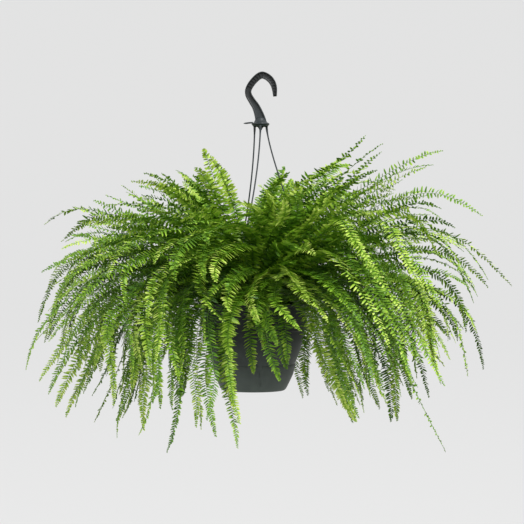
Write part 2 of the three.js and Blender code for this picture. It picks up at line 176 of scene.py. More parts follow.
def throughPoints(points, count):
    # count places on a smooth curve through the points, and its direction there
    at = np.linspace(0, len(points) - 1, count)
    near = np.minimum(at.astype(int), len(points) - 2)
    longer = np.concatenate([2 * points[:1] - points[1:2], points, 2 * points[-1:] - points[-2:-1]])
    return cubic(longer[near], longer[near + 1], longer[near + 2], longer[near + 3], (at - near)[:, None])


def turned(profile, segments, centreX, push=0.0):
    # a profile of (radius, height) turned about a vertical axis: rings of points and then two poles, and the
    # profile starts at the lower one
    radius, height = profile[:, :1, None], profile[:, 1:, None]
    points = centreX * rightwards + upwards * height
    rings = points[1:-1] + (radius[1:-1, 0] + push)[..., None] * levelAt(angles(segments))
    around = np.arange(segments)
    after, count, top = (around + 1) % segments, len(rings) * segments, (len(rings) - 1) * segments
    lower = np.stack([0 * around + count, after, around], -1)
    upper = np.stack([top + around, top + after, 0 * around + count + 1], -1)
    return (np.concatenate([rings.reshape(-1, 3), points[[0, -1], 0]]),
            [gridFaces(len(rings), segments), np.concatenate([lower, upper])])


def linear(hexCode):
    # sRGB hex to linear RGBA
    channels = np.array([int(hexCode[k:k + 2], 16) for k in (1, 3, 5)]) / 255
    low, high = channels / 12.92, ((channels + 0.055) / 1.055) ** 2.4
    return (*np.where(channels <= 0.04045, low, high).tolist(), 1.0)


def addNode(tree, kind, settings=None, **inputs):
    # inputs are values, or sockets of other nodes to link; a name's underscores stand for spaces
    node = tree.nodes.new(kind)
    for key, value in (settings or {}).items():
        setattr(node, key, value)
    for key, value in inputs.items():
        socket = node.inputs[int(key[1:])] if key[1:].isdigit() else node.inputs[key.replace("_", " ")]
        if isinstance(value, bpy.types.NodeSocket):
            tree.links.new(value, socket)
        else:
            socket.default_value = value
    return node


def newMaterial(name):
    material = bpy.data.materials.new(name)
    material.use_nodes = True
    material.node_tree.nodes.clear()
    return material, material.node_tree


def newToneMaterial(name):
    # the same, with the place and the tone that the mesh gives each vertex
    material, tree = newMaterial(name)
    place = addNode(tree, "ShaderNodeTexCoord").outputs["Object"]
    tone = addNode(tree, "ShaderNodeAttribute", {"attribute_name": "tone"}).outputs["Fac"]
    return material, tree, place, tone


def addNoise(tree, place, size, detail):
    # a cloudy pattern with spots of this size in metres
    return addNode(tree, "ShaderNodeTexNoise", Vector=place, Scale=1 / size, Detail=detail).outputs["Fac"]


def addRange(tree, value, low, high, toLow, toHigh):
    # a value that goes from one number to another while the given one goes from low to high
    return addNode(tree, "ShaderNodeMapRange", Value=value, From_Min=low, From_Max=high, To_Min=toLow,
                   To_Max=toHigh).outputs["Result"]


def addMath(tree, operation, *values):
    # a sum or a product, by the operation's name
    values = {f"_{k}": value for k, value in enumerate(values)}
    return addNode(tree, "ShaderNodeMath", {"operation": operation}, **values).outputs["Value"]


def addBump(tree, height, look):
    bump = addNode(tree, "ShaderNodeBump", Height=height, Strength=look["strength"], Distance=look["depth"])
    return bump.outputs["Normal"]


def addRamp(tree, share, stops):
    ramp = addNode(tree, "ShaderNodeValToRGB", Fac=share)
    elements = ramp.color_ramp.elements
    while len(elements) < len(stops):
        elements.new(0.5)
    for element, (position, hexCode) in zip(elements, stops):
        element.position = position
        element.color = linear(hexCode)
    return ramp.outputs["Color"]


# Camera: level, 2.8 m in front of the pot's axis

camera = {"place": (-0.00475, -2.8, -0.3477), "lens": 101.25, "sensor": 36}


def makeCamera():
    data = bpy.data.cameras.new("camera")
    data.lens = camera["lens"]
    data.sensor_width = camera["sensor"]
    seen = bpy.data.objects.new("camera", data)
    seen.location = camera["place"]
    seen.rotation_euler = (np.pi / 2, 0, 0)
    scene.collection.objects.link(seen)
    scene.camera = seen


# Polypropylene: dark grey and satin, with a fine mould texture and faint mottling. The moulded hanger is nearly
# black, a little darker at the top of the hook than at the hub. The blown pot and its saucer carry painted
# shade and
# painted light: darker high up, where the foliage shades the pot, and paler low down, where light comes from
# below.

plastic = {
    "moulded": {"dark": "#101416", "light": "#272e31", "heights": (-0.03, -0.1), "roughness": 0.45},
    # the pot's ramp and heights paint shade high up and light low down
    "blown": {"dark": "#15191b", "light": "#59635e", "heights": (-0.48, -0.59), "roughness": 0.5},
    "paler": (-0.1, 0.7),
    "mottle": {"size": 0.018, "share": 0.4, "gloss": 0.06},
    "grain": {"size": 0.0006, "strength": 0.12, "depth": 0.0002},
}


def polypropylene(kind):
    look, mottle, grain = plastic[kind], plastic["mottle"], plastic["grain"]
    material, tree = newMaterial(kind + "_polypropylene")
    place = addNode(tree, "ShaderNodeTexCoord").outputs["Object"]
    spots = addNoise(tree, place, mottle["size"], 4.0)
    grains = addNoise(tree, place, grain["size"], 2.0)
    # darker above the first height, paler towards the second: on the pot and saucer painted shade high up and
    # painted light low down
    height = addNode(tree, "ShaderNodeSeparateXYZ", Vector=place).outputs["Z"]
    fade = addRange(tree, height, *look["heights"], *plastic["paler"])
    shade = addMath(tree, "MULTIPLY_ADD", spots, mottle["share"], fade)
    colour = addRamp(tree, shade, [(0.05, look["dark"]), (0.9, look["light"])])
    smoothest, roughest = [look["roughness"] + sign * mottle["gloss"] for sign in (-1, 1)]
    gloss = addRange(tree, spots, *noiseRange, smoothest, roughest)
    shader = addNode(tree, "ShaderNodeBsdfPrincipled", Base_Color=colour, Roughness=gloss,
                     Normal=addBump(tree, grains, grain), IOR=1.43)
    addNode(tree, "ShaderNodeOutputMaterial", Surface=shader.outputs["BSDF"])
    return material


# Peat-based potting soil: dark brown and matt, paler where it has dried, with white perlite. The tone of a lump
# and the noise of the crumbs together pick the colour.

peat = {
    "stops": [(0.15, "#17100a"), (0.42, "#3a291b"), (0.85, "#57412c"), (1.0, "#d6d2c6")],
    "crumbs": {"size": 0.002, "share": 0.7, "strength": 0.8, "depth": 0.001},
}


def peatSoil():
    crumbs = peat["crumbs"]
    material, tree, place, tone = newToneMaterial("peat_soil")
    noise = addNoise(tree, place, crumbs["size"], 5.0)
    colour = addRamp(tree, addMath(tree, "MULTIPLY_ADD", noise, crumbs["share"], tone), peat["stops"])
    shader = addNode(tree, "ShaderNodeBsdfPrincipled", Base_Color=colour, Roughness=0.95,
                     Normal=addBump(tree, noise, crumbs))
    addNode(tree, "ShaderNodeOutputMaterial", Surface=shader.outputs["BSDF"])
    return material


# Fern leaf: thin and a little translucent. The tone runs from the brown scales of the crown over the dark green
# of old leaflets to the yellow-green of young tips.

leaf = {
    "stops": [(0.0, "#3a2613"), (0.06, "#4d3a1c"), (0.13, "#234708"), (0.39, "#406b0f"), (0.65, "#68951c"),
              (0.87, "#98ba3a"), (1.0, "#c3d66c")],
    "roughness": 0.42,
    "translucent": 0.27,
    "glow": {"hue": 0.485, "saturation": 1.1, "value": 1.35},
    "patches": {"size": 0.03, "shift": 0.08},
}


def fernLeaf():
    # light that comes through the leaf is yellower and brighter than the light that it throws back
    light, patches = leaf["glow"], leaf["patches"]
    material, tree, place, tone = newToneMaterial("fern_leaf")
    noise = addNoise(tree, place, patches["size"], 3.0)
    shift = addRange(tree, noise, *noiseRange, -patches["shift"], patches["shift"])
    colour = addRamp(tree, addMath(tree, "ADD", tone, shift), leaf["stops"])
    glow = addNode(tree, "ShaderNodeHueSaturation", Hue=light["hue"], Saturation=light["saturation"],
                   Value=light["value"], Color=colour)
    surface = addNode(tree, "ShaderNodeBsdfPrincipled", Base_Color=colour, Roughness=leaf["roughness"], IOR=1.4)
    through = addNode(tree, "ShaderNodeBsdfTranslucent", Color=glow.outputs["Color"])
    mixed = addNode(tree, "ShaderNodeMixShader", _0=leaf["translucent"], _1=surface.outputs["BSDF"],
                    _2=through.outputs["BSDF"])
    addNode(tree, "ShaderNodeOutputMaterial", Surface=mixed.outputs["Shader"])
    return material


# Courses of the fronds: the same rule as in the solids. Rank 0 is the oldest and lowest frond, rank 1 the
# youngest and most upright; the lists hold the value at each of the five ranks, angles in degrees.

fronds = {
    "count": 224,
    "lanes": 8,
    # the four fronds of a tuft stand this far to its left and outwards
    "feet": [(-0.0013, 0.0012), (-0.0012, -0.0012), (0.0012, -0.0012), (0.0013, 0.0012)],
    "goldenAngle": 137.508,
    "ranks": [0, 0.25, 0.5, 0.75, 1],
    "launch": [62, 64, 68, 75, 82],
    "droop": [78, 71, 72, 22, -31],
    "length": [0.358, 0.456, 0.53, 0.438, 0.333],
    "bendPower": [0.74, 0.79, 0.88, 0.97, 1.3],
    "bendReach": [0.57, 0.83, 0.98, 1.03, 1],
    "crown": np.array([-0.021, 0, -0.441]),
    "crownRadius": 0.066,
    "steps": 40,
    "footHeight": 0.0015,
    "leavesFoot": (0, 0.11),
    "turnsOut": (0.09, 0.26),
    # turns of the three strands as low and as upright fronds meet them, and the angle kept free beside them
    "strandTurns": np.array([[0, 120, 240], [4, 112, 264]]),
    "freeAngle": {"low": 12, "upright": 24},
    # half ranges in which the fronds differ; roll is about the rib, winding is the roll that the tip adds
    "varied": {"rank": 0.004, "turn": 3.4, "roll": 26, "winding": 40},
    "winds": (0.15, 1),
    "rankPower": 1.2,
    "own": {"least": 0.71, "added": 0.36},
    "breadth": {"least": 0.78, "added": 0.36},
    # the plant is fuller on the right, and its low fronds before and behind the pot are short
    "lean": 0.11,
    "facing": {"front": 274, "back": 88, "spread": 15, "cut": 0.48, "ranks": (0.75, 0.4)},
    # a few old fronds are long and thin, and their leaflets stand out all round
    "stragglers": {"below": 0.35, "share": 0.1, "stretch": 1.1, "width": 0.6, "sway": 0.02},
    "sway": {"most": 0.007, "span": (0.15, 1), "sideways": 5, "upward": 6},
    # a slow wave of the whole foliage: for x, y and z the shares of the three coordinates and a sine's phase
    "drift": {"reach": 0.017, "from": 0.06, "over": 0.24, "most": 1.3, "wavelength": 0.43},
    "driftWaves": np.array([[0, 1.1, 0.8, 1.22], [1.2, 0, 0.9, 2.35], [1.1, -0.9, 0, 1.65]]),
}

# One or two young fronds beside most of the others: lower or higher in rank, to one side, and shorter. They are
# longer high on the right and low in front, more so on the left, and shorter half way up on the right.

youngFronds = {
    "shares": [0.92, 0.62],
    "rank": 0.08,
    "turn": {"least": 12, "added": 8},
    "own": {"least": 0.78, "added": 0.24},
    "cut": 0.28,
    # the share of the free angle that they keep from the strands, at ranks
    "closer": {"ranks": [0, 0.6, 0.85, 1], "shares": [0.35, 0.35, 0.85, 1]},
    # how much, in which turn, over how many degrees, and at which ranks not yet and fully
    "longer": [(0.25, 25, 50, (0.8, 0.92)), (0.22, 240, 26, (0.45, 0.25)), (-0.14, 5, 22, (0.85, 0.72)),
               (0.05, 310, 22, (0.6, 0.4))],
}


def scatter(n, k):
    # a repeatable number from 0 to 1: the fraction of a large sine
    value = np.sin(n * 12.9898 + k * 78.233 + 5.9) * 43758.5453
    return value - np.floor(value)


def bothWays(n, k):
    # the same from -1 to 1
    return 2 * scatter(n, k) - 1


def ownShare(rule, n, k):
    # least, and a repeatable part of what is added
    return rule["least"] + rule["added"] * scatter(n, k)


def atRank(key, rank):
    return np.interp(rank, fronds["ranks"], fronds[key])


def bell(turn, middle, spread):
    # 1 at the middle, and e to the minus square of the distance in spreads beside it
    return np.exp(-((turn - middle) / spread) ** 2)


def within(turn, start):
    # the same turn, in the 360 degrees from a start
    return (turn - start) % 360 + start


def partedTurn(turn, tuftTurn, rank, closer=1.0):
    # a turn squeezed into its tuft's sector between two strands of the hanger, clear of both by the free angle
    square = rank ** 2
    free = fronds["freeAngle"]
    half = (free["low"] + (free["upright"] - free["low"]) * square) * closer
    low, upright = fronds["strandTurns"][..., None]
    centres = low + (upright - low) * square
    tuftDegrees = within(tuftTurn, 0)
    low = np.maximum(centres[2] - 360, np.where(centres <= tuftDegrees, centres, -np.inf).max(0))
    high = np.minimum(centres[0] + 360, np.where(centres > tuftDegrees, centres, np.inf).min(0))
    share = np.clip((within(turn, (low + high) / 2 - 180) - low) / (high - low), 0, 1)
    return low + half + share * (high - low - 2 * half)


def drifted(points):
    # each coordinate is moved by its wave, 17 mm or so outside and nothing at the crown
    drift, waves = fronds["drift"], fronds["driftWaves"]
    reach = np.linalg.norm(points - fronds["crown"], axis=-1)
    weight = drift["reach"] * np.clip((reach - drift["from"]) / drift["over"], 0, drift["most"])
    phases = points @ waves[:, :3].T * (2 * np.pi / drift["wavelength"]) + waves[:, 3]
    return points + weight[..., None] * np.sin(phases)


def frondLengths(i, turn, rank, isYoung, straggler, later):
    # the length at this rank, times the frond's own share and what its place round the plant makes of it
    facing = fronds["facing"]
    bells = [bell(within(turn, 0), facing[side], facing["spread"]) for side in ("front", "back")]
    cut = np.where(isYoung, youngFronds["cut"], facing["cut"])
    short = 1 - cut * sum(bells) * smooth(rank, *facing["ranks"])
    lean = 1 + fronds["lean"] * rank * np.cos(np.radians(turn))
    more = 1
    for by, middle, spread, ranks in youngFronds["longer"]:
        more = more + by * bell(within(turn, middle - 180), middle, spread) * smooth(rank, *ranks)
    own = np.where(isYoung, more * ownShare(youngFronds["own"], i, 14 + later), ownShare(fronds["own"], i, 3))
    return atRank("length", rank) * own * short * lean * np.where(straggler, fronds["stragglers"]["stretch"], 1)


def onCrown(rank, radians):
    # where fronds of a rank rise: the oldest at the crown's edge, the youngest in its middle
    return fronds["crown"] + fronds["crownRadius"] * np.sqrt(1 - rank)[:, None] * levelAt(radians)


def flightPoints(rank, length, inTurn, outTurn, start, foot):
    # steps of equal length; the rise goes from launch to droop, and the heading from the tuft's sector into the
    # open. Near its base a frond is drawn from its own start to its foot on the tuft.
    rank, length, inTurn, outTurn = [values[:, None] for values in (rank, length, inTurn, outTurn)]
    launch, droop = atRank("launch", rank), atRank("droop", rank)
    step = length / fronds["steps"]
    way = (np.arange(fronds["steps"]) + 0.5) * step
    bend = np.minimum(1, way / atRank("length", rank) / atRank("bendReach", rank))
    rise = np.radians(launch - (launch + droop) * bend ** atRank("bendPower", rank))
    heading = np.radians(inTurn + (outTurn - inTurn) * smooth(way, *fronds["turnsOut"]))
    flights = levelAt(heading) * np.cos(rise)[..., None] + upwards * np.sin(rise)[..., None]
    points = start[:, None] + np.cumsum(step[..., None] * flights, axis=1)
    drawn = 1 - smooth(way + step / 2, *fronds["leavesFoot"])
    return points + drawn[..., None] * (foot - start)[:, None]


def swaying(points, turn, n, straggler):
    # each frond sways a little of its own, sideways and in height, more so towards its tip
    sway = fronds["sway"]
    share = np.linspace(0, 1, fronds["steps"])
    most = np.where(straggler, fronds["stragglers"]["sway"], sway["most"])[:, None]
    grown = most * smooth(share, *sway["span"])
    sideways = grown * np.sin(sway["sideways"] * share + phaseRange * scatter(n, 15)[:, None])
    upward = grown * np.sin(sway["upward"] * share + phaseRange * scatter(n, 16)[:, None])
    across = levelAt(np.radians(turn + 90))[:, None]
    return points + across * sideways[..., None] + upwards * upward[..., None]


def frondCourses():
    # every frond's rib as 41 points; a repeatable number of a frond says whether young ones stand beside it
    varied, golden, lanes = fronds["varied"], fronds["goldenAngle"], fronds["lanes"]
    feet = np.array(fronds["feet"])
    elders = np.arange(fronds["count"])
    picked = [elders[scatter(elders, 10 + 20 * k) < share] for k, share in enumerate(youngFronds["shares"])]
    i = np.concatenate([elders] + picked)
    group = np.repeat(np.arange(1 + len(picked)), [len(elders)] + [len(members) for members in picked])
    isYoung, later, n = group > 0, 20 * (group > 1), i + fronds["count"] * group
    blockSize = lanes * len(feet)
    block, lane, member = i // blockSize, i % lanes, i % blockSize // lanes
    inner = block * blockSize + lanes + lane
    tuftRank = (inner + lanes / 2 + 0.5) / fronds["count"]
    tuftTurn = inner * golden + within(lanes * golden, 0) / 2

    rank = (i + 0.5) / fronds["count"] + varied["rank"] * bothWays(i, 1)
    rank = np.clip(rank + youngFronds["rank"] * isYoung * bothWays(i, 11 + later), 0, 1) ** fronds["rankPower"]
    aside = ownShare(youngFronds["turn"], i, 13 + later) * np.sign(bothWays(i, 12 + later))
    turn = i * golden + varied["turn"] * bothWays(i, 2) + isYoung * aside
    stragglers = fronds["stragglers"]
    straggler = ~isYoung & (rank < stragglers["below"]) & (scatter(i, 8) > 1 - stragglers["share"])
    length = frondLengths(i, turn, rank, isYoung, straggler, later)

    baseTurn = np.radians(partedTurn(tuftTurn, tuftTurn, tuftRank))
    base = onCrown(tuftRank, baseTurn)
    left, out = feet[member].T[..., None]
    foot = base + levelAt(baseTurn + np.pi / 2) * left + levelAt(baseTurn) * out
    foot = foot + upwards * fronds["footHeight"]
    closer = np.interp(rank, youngFronds["closer"]["ranks"], youngFronds["closer"]["shares"])
    inTurn = partedTurn(turn, tuftTurn, rank, np.where(isYoung, closer, 1))
    outTurn = within(turn, inTurn - 180)
    outTurn = outTurn + (inTurn - outTurn) * rank ** 2
    start = onCrown(rank, np.radians(inTurn))
    points = swaying(flightPoints(rank, length, inTurn, outTurn, start, foot), turn, n, straggler)
    points = drifted(np.concatenate([foot[:, None], points], axis=1))
    return {
        "points": points,
        "length": np.linalg.norm(np.diff(points, axis=1), axis=-1).sum(1),
        "turn": np.radians(turn),
        "rank": rank,
        "tuft": block * lanes + lane,
        "straggler": straggler,
        "base": drifted(base),
        "roll": np.radians(varied["roll"]) * bothWays(n, 4),
        "winding": np.radians(varied["winding"]) * bothWays(n, 17),
        "breadth": ownShare(fronds["breadth"], n, 5),
    }


courses = frondCourses()
print("courses:", len(courses["points"]), "fronds, longest", round(float(courses["length"].max()), 3))


def bladeFrame(which, share):
    # at a share of frond which: the place on the cubic through its course and the direction there, the blade's
    # side and its upper face, rolled about the rib and more so towards the tip
    points = courses["points"]
    last = points.shape[1] - 1
    at = np.clip(share, 0, 1) * last
    near = np.minimum(at.astype(int), last - 1)
    beside = [points[which, np.clip(near + k, 0, last)] for k in (-1, 0, 1, 2)]
    place, along = cubic(*beside, (at - near)[:, None])
    roll = courses["roll"][which] + courses["winding"][which] * smooth(share, *fronds["winds"])
    level = levelAt(courses["turn"][which] + np.pi / 2)
    flat = unit(level - along * (along * level).sum(-1, keepdims=True))
    side = flat * np.cos(roll)[:, None] + np.cross(along, flat) * np.sin(roll)[:, None]
    return place, along, side, np.cross(along, side)


# Leaflets: closed bodies from a foot on the rib through two stations, each of left edge, raised middle and
# right edge, to a tip

leaflets = {
    "firstAt": 0.045,
    "pitch": {"low": 0.0049, "upright": 0.0074},
    "fewestPairs": 8,
    "apart": 0.0012,
    "crowding": 1.2,
    # half the blade's width, what it keeps near the stalk and at the tip, and in upright fronds
    "halfBlade": 0.0165,
    "near": {"least": 0.5, "span": (0.04, 0.12)},
    "end": {"share": 0.24, "power": 0.55},
    "slimmer": {"by": 0.04, "ranks": (0.6, 0.95)},
    "shortest": 0.0026,
    "ownReach": (0.84, 1.1),
    "halfWidth": {"low": 0.00185, "upright": 0.0022},
    "ownWidth": (0.85, 1.12),
    "widest": 0.42,
    # degrees forward, lift and twist: the mean, what the tip, the rank and upright growth add to it, the
    # spread, and what upright growth and a straggler add to that
    "angles": [(4, 18, 0, -16, 7, 4, 0), (2, 0, 4, 0, 9, 7, 24), (22, 0, 0, 0, 13, 8, 24)],
    "uprightRanks": (0.55, 0.95),
    "tip": (0.55, 1),
    # the form of one: its points by share along it, share of the half width and share of the thickness
    "points": [(0.17, 1, 0), (0.17, 0, 1), (0.17, -1, 0), (0.72, 0.8, 0), (0.72, 0, 1), (0.72, -0.8, 0),
               (0, 0, 0), (1, 0, 0)],
    "faces": [np.array([[0, 3, 4, 1], [1, 4, 5, 2], [2, 5, 3, 0]]),
              np.array([[3, 7, 4], [4, 7, 5], [5, 7, 3], [0, 1, 6], [1, 2, 6], [2, 0, 6]])],
    "thickness": 0.0004,
    "curl": (0.13, 0.1),
    "sickle": (0.02, 0.16),
    "wave": {"size": 0.2, "turns": 7},
    # what its points add to the tone of the whole: darker at the foot, lighter at the tip
    "pointTones": [-0.07, -0.07, -0.07, 0.08, 0.08, 0.08, -0.22, 0.18],
    "tone": {"mean": 0.47, "mood": 0.23, "rank": 0.03, "tip": 0.27, "spread": 0.08},
    "paleTip": (0.35, 1),
    "toneLimits": (0.17, 0.98),
    "seed": 11,
}


def fromLow(key, rank):
    # a value that goes evenly from low to upright fronds
    return np.interp(rank, [0, 1], [leaflets[key]["low"], leaflets[key]["upright"]])


def leafletPlaces():
    # which frond, how far along its rib and on which side each leaflet stands; they crowd towards the tip
    span = courses["length"] - leaflets["firstAt"]
    pairs = np.maximum(leaflets["fewestPairs"], np.round(span / fromLow("pitch", courses["rank"]))).astype(int)
    which, order = np.nonzero(np.arange(pairs.max()) < pairs[:, None])
    way = leaflets["firstAt"] + span[which] * (1 - (1 - order / pairs[which]) ** leaflets["crowding"])
    side = np.tile([1, -1], len(which))
    return np.repeat(which, 2), np.repeat(way, 2) + side * leaflets["apart"], side


def leafletSizes(rng, which, way, share):
    # the reach of each, and half its width
    rank, near, end, slimmer = courses["rank"][which], leaflets["near"], leaflets["end"], leaflets["slimmer"]
    fill = near["least"] + (1 - near["least"]) * smooth(way, *near["span"])
    taper = np.minimum(1, (1 - share) / end["share"]) ** end["power"]
    slim = np.where(courses["straggler"][which], fronds["stragglers"]["width"], 1)
    slim = slim * (1 - slimmer["by"] * smooth(rank, *slimmer["ranks"]))
    reach = leaflets["halfBlade"] * courses["breadth"][which] * slim * fill * taper
    reach = np.maximum(reach * rng.uniform(*leaflets["ownReach"], len(which)), leaflets["shortest"])
    halfWidth = fromLow("halfWidth", rank) * rng.uniform(*leaflets["ownWidth"], len(which))
    return reach, np.minimum(halfWidth, leaflets["widest"] * reach)


def leafletAngles(rng, which, share):
    # forward along the rib, lifted above the blade and twisted about itself, each with a normal spread
    rank, straggler = courses["rank"][which], courses["straggler"][which]
    upright, tip = smooth(rank, *leaflets["uprightRanks"]), smooth(share, *leaflets["tip"])
    degrees = [mean + atTip * tip + byRank * rank + ifUpright * upright
               + rng.normal(0, 1, len(which)) * (spread + wider * upright + loose * straggler)
               for mean, atTip, byRank, ifUpright, spread, wider, loose in leaflets["angles"]]
    return np.radians(degrees)[..., None]


def makeLeaflets():
    rng = np.random.default_rng(leaflets["seed"])
    which, way, side = leafletPlaces()
    count = len(which)
    share = way / courses["length"][which]
    place, along, across, up = bladeFrame(which, share)
    reach, halfWidth = [size[:, None] for size in leafletSizes(rng, which, way, share)]
    forward, lift, twist = leafletAngles(rng, which, share)
    out = across * side[:, None] * np.cos(forward) + along * np.sin(forward)
    out = out * np.cos(lift) + up * np.sin(lift)
    wide = unit(along - out * (along * out).sum(-1, keepdims=True))
    face = np.cross(out, wide) * -side[:, None]
    wide, face = wide * np.cos(twist) + face * np.sin(twist), face * np.cos(twist) - wide * np.sin(twist)

    # the tip curls down and bends forward with the square of the way, and a sine waves the two edges
    t, w, h = np.array(leaflets["points"]).T[:, None]
    curl = rng.normal(*leaflets["curl"], count)[:, None]
    sickle = rng.uniform(*leaflets["sickle"], count)[:, None]
    size = leaflets["wave"]["size"] * rng.uniform(-1, 1, (count, 1))
    wave = size * np.sin(leaflets["wave"]["turns"] * t + rng.uniform(0, phaseRange, (count, 1)))
    sideways = halfWidth * w + reach * sickle * t ** 2
    above = leaflets["thickness"] * h - reach * curl * t ** 2 + halfWidth * wave * w
    parts = zip((out, wide, face), (reach * t, sideways, above))
    vertices = place[:, None] + sum(axis[:, None] * amount[..., None] for axis, amount in parts)

    # each frond has a tone of its own, paler towards its tip, and its leaflets differ a little
    rule = leaflets["tone"]
    mood = rule["mood"] * bothWays(np.arange(len(courses["rank"])), 6)[which]
    tone = rule["mean"] + mood + rule["rank"] * courses["rank"][which]
    tone = tone + rule["tip"] * smooth(share, *leaflets["paleTip"]) + rng.normal(0, rule["spread"], count)
    tone = np.clip(tone[:, None] + leaflets["pointTones"], *leaflets["toneLimits"])
    return {"which": which, "side": side, "vertices": vertices, "tone": tone}


# Ribs: a slim three-sided tube along each course, thinner to the tip, brown at the foot and green from there on

ribs = {
    "stations": 22,
    "sides": 3,
    "radius": 0.0012,
    "tipRadius": 0.0003,
    "taperPower": 0.8,
    "tones": {"shares": [0, 0.02, 0.07, 1], "values": [0.04, 0.09, 0.3, 0.68]},
}


def makeRibs():
    rows, sides = ribs["stations"], ribs["sides"]
    count = len(courses["rank"])
    which = np.repeat(np.arange(count), rows)
    share = np.tile(np.linspace(0, 1, rows), count)
    place, _, side, up = bladeFrame(which, share)
    radius = ribs["radius"] + (ribs["tipRadius"] - ribs["radius"]) * share ** ribs["taperPower"]
    vertices = carried(place, side, up, circle(sides) * radius[:, None, None])
    return vertices.reshape(count, rows * sides, 3), share.reshape(count, rows)


# Crown: under each tuft a brown rootstock that stands out of the soil, and in the upright tufts a coiled young
# frond, a stalk that ends in a spiral

crown = {
    "stock": [(2.4, -3), (4, -0.8), (4.4, 0.8), (3.4, 2.6), (1.3, 3.8)],
    "stockSides": 9,
    "stockUneven": (0.82, 1.12),
    "stockTone": 0.05,
    "coiledFrom": 18,
    "stalkStations": 12,
    "stalkHeight": (0.02, 0.062),
    "stalkLean": 0.25,
    "stalkFrom": 0.004,
    "coilStations": 26,
    "coilSides": 5,
    "coilTurns": 1.7,
    "coilRadius": 0.0042,
    "coilSizes": (0.75, 1.15),
    "coilShrinks": 0.82,
    "thickness": 0.0013,
    "thinner": 0.35,
    "tone": {"foot": 0.1, "added": 0.62, "span": (0.02, 0.5)},
    "seed": 3,
}


def makeStocks(bases, rng):
    # rings of uneven radius, one above the other
    radius, height = metres(crown["stock"]).T
    rows, sides = len(height), crown["stockSides"]
    uneven = rng.uniform(*crown["stockUneven"], (len(bases), rows, sides, 1))
    place = bases[:, None] + upwards * height[:, None]
    vertices = carried(place, rightwards, depthwise, circle(sides) * radius[:, None, None] * uneven)
    return vertices.reshape(len(bases), -1, 3), np.linspace(0, crown["stockTone"], rows)


def makeCoils(bases, rng):
    # the stalk rises and leans; the spiral goes over the top and inwards, its radius falling with the angle
    count, tone = len(bases), crown["tone"]
    rise = np.linspace(0, 1, crown["stalkStations"], endpoint=False)
    angle = np.linspace(0, 1, crown["coilStations"]) * crown["coilTurns"] * 2 * np.pi
    tall = rng.uniform(*crown["stalkHeight"], (count, 1))
    lean = crown["stalkLean"] * tall
    size = crown["coilRadius"] * rng.uniform(*crown["coilSizes"], (count, 1))
    shrinking = size * (1 - crown["coilShrinks"] * angle / angle[-1])
    outward = np.concatenate([lean * rise ** 2, lean + size - shrinking * np.cos(angle)], 1)
    upward = np.concatenate([tall * rise, tall + shrinking * np.sin(angle)], 1)
    turn = rng.uniform(0, 2 * np.pi, count)
    way, side = levelAt(turn)[:, None], levelAt(turn + np.pi / 2)[:, None]
    start = bases[:, None] + crown["stalkFrom"] * way
    place = start + way * outward[..., None] + upwards * upward[..., None]
    along = unit(np.gradient(place, axis=1))
    share = np.linspace(0, 1, place.shape[1])
    outline = circle(crown["coilSides"]) * (crown["thickness"] * (1 - crown["thinner"] * share))[:, None, None]
    return (carried(place, side, np.cross(along, side), outline).reshape(count, -1, 3),
            tone["foot"] + tone["added"] * smooth(share, *tone["span"]))


def makeTufts(material):
    made, (ribPoints, ribShares) = makeLeaflets(), makeRibs()
    rng = np.random.default_rng(crown["seed"])
    _, firstMembers = np.unique(courses["tuft"], return_index=True)
    bases = courses["base"][firstMembers]
    stocks, stockTone = makeStocks(bases, rng)
    coils, coilTone = makeCoils(bases, rng)
    stockFaces = tubeFaces(len(crown["stock"]), crown["stockSides"])
    coilFaces = tubeFaces(crown["stalkStations"] + crown["coilStations"], crown["coilSides"])
    ribFaces = tubeFaces(ribs["stations"], ribs["sides"])
    ribTones = np.interp(ribShares, ribs["tones"]["shares"], ribs["tones"]["values"])
    total = 0
    for tuft in range(len(bases)):
        members = np.nonzero(courses["tuft"] == tuft)[0]
        mine = np.isin(made["which"], members)
        blades, side = made["vertices"][mine], made["side"][mine][:, None, None]
        # the leaflets of side -1 are mirror images, so their faces are listed the other way round
        bladeFaces = [repeated(np.where(side < 0, faces[:, ::-1], faces), *blades.shape[:2])
                      for faces in leaflets["faces"]]
        ownRibFaces = [repeated(faces, len(members), ribPoints.shape[1]) for faces in ribFaces]
        shapes = [(blades, bladeFaces), (ribPoints[members], ownRibFaces), (stocks[tuft], stockFaces)]
        tones = [made["tone"][mine].ravel(), np.repeat(ribTones[members].ravel(), ribs["sides"]),
                 np.repeat(stockTone, crown["stockSides"])]
        if tuft >= crown["coiledFrom"]:
            shapes.append((coils[tuft], coilFaces))
            tones.append(np.repeat(coilTone, crown["coilSides"]))
        number = f"{tuft + 1:02d}"
        mesh = makePiece("fern_tuft_" + number, shapes, material, "frond_tuft_" + number,
                         np.concatenate(tones), sum(len(faces) for faces in bladeFaces))
        total += len(mesh.loops) - 2 * len(mesh.polygons)
    print("tufts:", len(bases), "pieces,", len(made["which"]), "leaflets,", total, "triangles")


# Hanger: an I-section hook with small cross ribs, a flared hub with a moulding tab, three strands and clips.
# The route holds x, z and the width of the hook in mm, the other lists x or radius and z.

